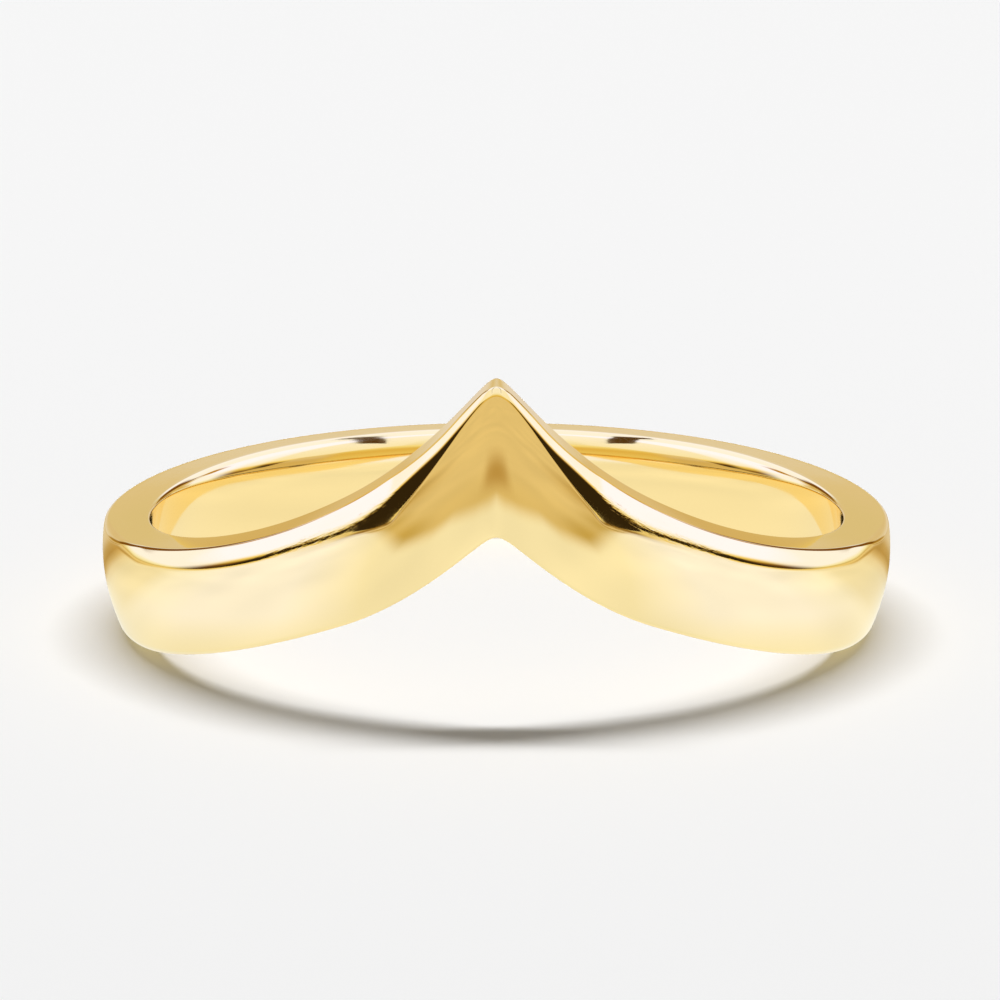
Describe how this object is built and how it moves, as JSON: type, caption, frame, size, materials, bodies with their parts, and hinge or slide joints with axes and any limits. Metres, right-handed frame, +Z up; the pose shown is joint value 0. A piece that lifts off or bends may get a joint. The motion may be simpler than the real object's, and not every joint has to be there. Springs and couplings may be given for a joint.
{
  "type": "chevron ring",
  "caption": "Plain polished gold ring for a finger, whose slim band sweeps up to a sharp chevron point at the front and has a round hole.",
  "frame": {"origin": "on the axis of the finger hole, in the plane of the flat foot that the band rests on", "axes": "+Z up along the finger hole's axis, -Y towards the point of the chevron, +X to the right as seen from the front"},
  "size_m": [0.0196, 0.0196, 0.0086],
  "materials": {
    "gold": "mirror polished 18 ct yellow gold"
  },
  "bodies": {
    "root": {"band": "gold"}
  },
  "joints": []
}
